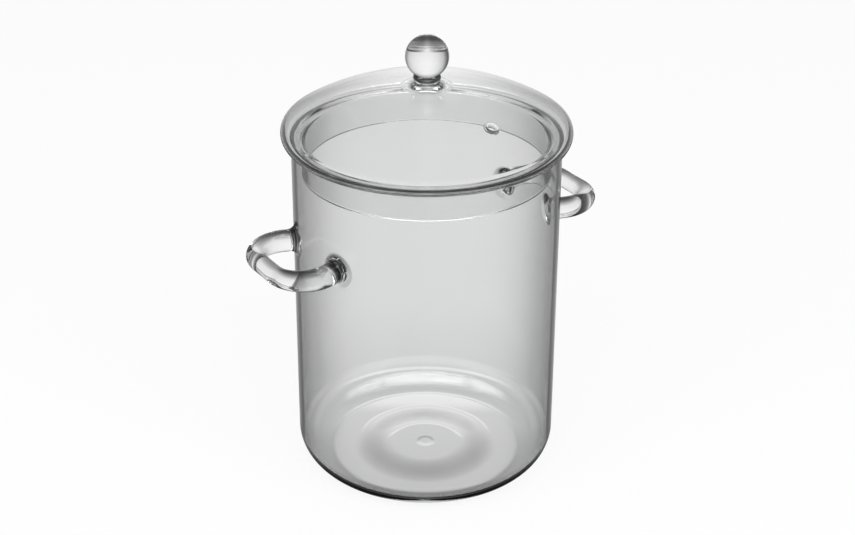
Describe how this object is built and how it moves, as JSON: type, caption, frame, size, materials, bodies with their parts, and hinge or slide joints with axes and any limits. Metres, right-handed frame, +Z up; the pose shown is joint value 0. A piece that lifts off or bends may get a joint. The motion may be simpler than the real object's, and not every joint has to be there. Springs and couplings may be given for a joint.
{
  "type": "glass pot with lid",
  "caption": "Tall round clear glass cooking pot with looped rod handles and a domed lid with a ball knob that lifts off.",
  "frame": {"origin": "centre of the standing ring under the pot, on the surface it stands on", "axes": "+Z up along the pot's axis, +X through the right handle, -Y towards the front"},
  "size_m": [0.2576, 0.1934, 0.3122],
  "materials": {
    "pot_glass": "clear blown heatproof glass, smooth",
    "rod_glass": "clear solid glass rod, fire-polished",
    "lid_glass": "clear blown heatproof glass, smooth",
    "knob_glass": "clear solid glass, fire-polished"
  },
  "bodies": {
    "pot": {"pot_body": "pot_glass", "handle_left": "rod_glass", "handle_right": "rod_glass", "weld_pad_left_a": "rod_glass", "weld_pad_left_b": "rod_glass", "weld_pad_right_a": "rod_glass", "weld_pad_right_b": "rod_glass"},
    "lid": {"lid_shell": "lid_glass", "knob_collar": "knob_glass", "knob_ball": "knob_glass"}
  },
  "joints": [
    {"name": "lid_lift", "type": "slide", "parent": "pot", "child": "lid", "axis": [0, 0, 1], "range_m": [0, 0.15]}
  ]
}
